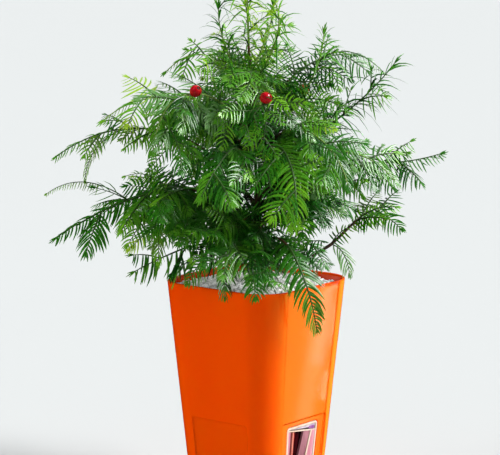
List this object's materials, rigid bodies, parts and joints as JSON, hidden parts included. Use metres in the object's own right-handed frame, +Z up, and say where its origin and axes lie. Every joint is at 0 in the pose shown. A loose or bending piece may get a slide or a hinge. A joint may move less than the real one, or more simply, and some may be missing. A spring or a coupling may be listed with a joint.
{
  "type": "potted plant",
  "caption": "Bushy young yew with arching sprays of flat needles and red berries, in a glossy orange tapered square pot with a water window.",
  "frame": {"origin": "middle of the pot's flat underside", "axes": "+Z up; -Y out of the pot face with the water window; -X out of the pot's left face in the picture; the pot's faces look along X and Y"},
  "size_m": [0.2733, 0.2727, 0.482],
  "materials": {
    "orange_plastic": "gloss",
    "clear_pink_plastic": "polished",
    "dark_plastic": "satin",
    "peat": "matte",
    "pale_gravel": "matte",
    "bark": "matte",
    "needles": "satin"
  },
  "bodies": {
    "root": {"pot_shell": "orange_plastic", "water_window": "clear_pink_plastic", "wick_plate": "dark_plastic", "soil": "peat", "gravel": "pale_gravel", "trunk": "bark", "bough_left_low": "bark", "bough_left_mid": "bark", "bough_left_high": "bark", "bough_left_front": "bark", "bough_left_bottom": "bark", "bough_right_low": "bark", "bough_right_mid": "bark", "bough_right_drop": "bark", "bough_right_high": "bark", "bough_right_arch": "bark", "bough_right_top": "bark", "bough_right_front": "bark", "bough_front_bright": "bark", "bough_front_left": "bark", "bough_front_low": "bark", "bough_front_low_right": "bark", "bough_front_spill": "bark", "bough_back_left_low": "bark", "bough_back_right_low": "bark", "bough_back_middle": "bark", "bough_back_left": "bark", "bough_back_right": "bark", "foliage_left_low": "needles", "foliage_left_mid": "needles", "foliage_left_high": "needles", "foliage_left_front": "needles", "foliage_left_bottom": "needles", "foliage_left_inner": "needles", "foliage_right_low": "needles", "foliage_right_mid": "needles", "foliage_right_drop": "needles", "foliage_right_high": "needles", "foliage_right_arch": "needles", "foliage_right_top": "needles", "foliage_right_front": "needles", "foliage_front_bright": "needles", "foliage_front_left": "needles", "foliage_front_low": "needles", "foliage_front_low_right": "needles", "foliage_front_spill": "needles", "foliage_front_inner": "needles", "foliage_crown_top": "needles", "foliage_crown_front": "needles", "foliage_crown_left": "needles", "foliage_crown_right": "needles", "foliage_crown_back": "needles", "foliage_left_crest": "needles", "foliage_back_left_low": "needles", "foliage_back_right_low": "needles", "foliage_back_middle": "needles", "foliage_back_left": "needles", "foliage_back_right": "needles", "foliage_back_high": "needles"}
  },
  "joints": []
}
